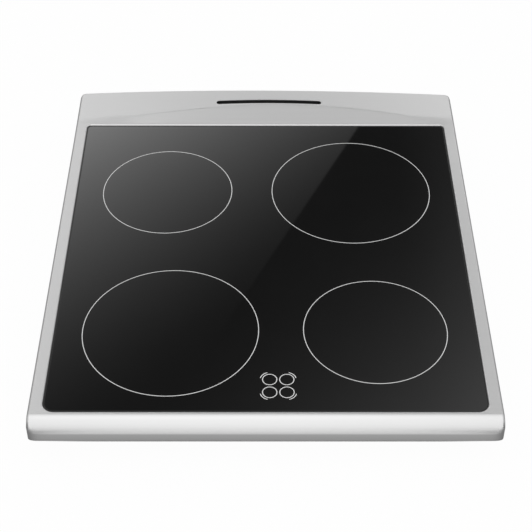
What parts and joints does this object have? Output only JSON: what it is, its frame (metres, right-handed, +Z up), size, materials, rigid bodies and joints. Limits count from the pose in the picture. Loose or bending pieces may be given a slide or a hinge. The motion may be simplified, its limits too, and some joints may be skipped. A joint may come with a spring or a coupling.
{
  "type": "induction cooktop",
  "caption": "Black glass cooktop with printed ring zones in a steel frame with a rounded front and a raised rear vent, over a tray of coils and blowers.",
  "frame": {"origin": "middle of the footprint, on the underside of the tray", "axes": "+Z up, +Y from the cook's side towards the raised rear, +X to the cook's right"},
  "size_m": [0.5, 0.587, 0.0607],
  "materials": {
    "stainless_steel": "satin stainless steel, finely brushed from side to side",
    "glass_ceramic": "polished black glass-ceramic, opaque, with pale printed zone rings",
    "black_silicone": "matt black silicone",
    "black_enamel": "black enamelled sheet steel",
    "galvanised_steel": "galvanised sheet steel, dull grey with faint spangle",
    "zinc_plated_steel": "bright zinc-plated steel",
    "aluminium": "mill-finish aluminium",
    "circuit_board": "green circuit board with dark components",
    "black_plastic": "matt black moulded plastic",
    "carrier_plastic": "dark grey moulded plastic with ferrite bars",
    "copper_litz": "varnished copper litz wire",
    "mica": "pale mica and ceramic-fibre sheet",
    "pale_plastic": "pale moulded plastic",
    "clear_plastic": "clear moulded plastic"
  },
  "bodies": {
    "cooktop": {"top_frame": "stainless_steel", "glass_panel": "glass_ceramic", "glass_seal": "black_silicone", "cable_grommet": "black_silicone", "vent_duct": "black_enamel", "base_tray": "galvanised_steel", "cross_rail_front": "galvanised_steel", "cross_rail_rear": "galvanised_steel", "rear_bracket_left": "galvanised_steel", "rear_bracket_right": "galvanised_steel", "glass_support": "galvanised_steel", "tray_screw_1": "zinc_plated_steel", "tray_screw_2": "zinc_plated_steel", "tray_screw_3": "zinc_plated_steel", "tray_screw_4": "zinc_plated_steel", "tray_screw_5": "zinc_plated_steel", "tray_screw_6": "zinc_plated_steel", "leaf_spring_front_left": "zinc_plated_steel", "leaf_spring_front_right": "zinc_plated_steel", "leaf_spring_rear_left": "zinc_plated_steel", "leaf_spring_rear_right": "zinc_plated_steel", "fan_motor_left": "zinc_plated_steel", "fan_motor_right": "zinc_plated_steel", "coil_plate_left": "aluminium", "coil_plate_right": "aluminium", "heat_sink_left": "aluminium", "heat_sink_right": "aluminium", "power_board_left": "circuit_board", "power_board_right": "circuit_board", "filter_board": "circuit_board", "indicator_board": "circuit_board", "fan_housing_left": "black_plastic", "fan_housing_right": "black_plastic", "terminal_block": "black_plastic", "indicator_holder": "black_plastic", "coil_carrier_front_left": "carrier_plastic", "coil_carrier_front_right": "carrier_plastic", "coil_carrier_rear_left": "carrier_plastic", "coil_carrier_rear_right": "carrier_plastic", "coil_winding_front_left": "copper_litz", "coil_winding_front_right": "copper_litz", "coil_winding_rear_left": "copper_litz", "coil_winding_rear_right": "copper_litz", "insulation_disc_front_left": "mica", "insulation_disc_front_right": "mica", "insulation_disc_rear_left": "mica", "insulation_disc_rear_right": "mica", "glass_sensor_front_left": "pale_plastic", "glass_sensor_front_right": "pale_plastic", "glass_sensor_rear_left": "pale_plastic", "glass_sensor_rear_right": "pale_plastic", "light_guide": "clear_plastic"},
    "left_impeller": {"fan_rotor_left": "black_plastic"},
    "right_impeller": {"fan_rotor_right": "black_plastic"}
  },
  "joints": [
    {"name": "left_impeller_spin", "type": "hinge", "parent": "cooktop", "child": "left_impeller", "pos_m": [-0.125, 0.134, 0.014], "axis": [0, 0, 1], "continuous": true},
    {"name": "right_impeller_spin", "type": "hinge", "parent": "cooktop", "child": "right_impeller", "pos_m": [0.101, 0.134, 0.014], "axis": [0, 0, 1], "continuous": true}
  ]
}
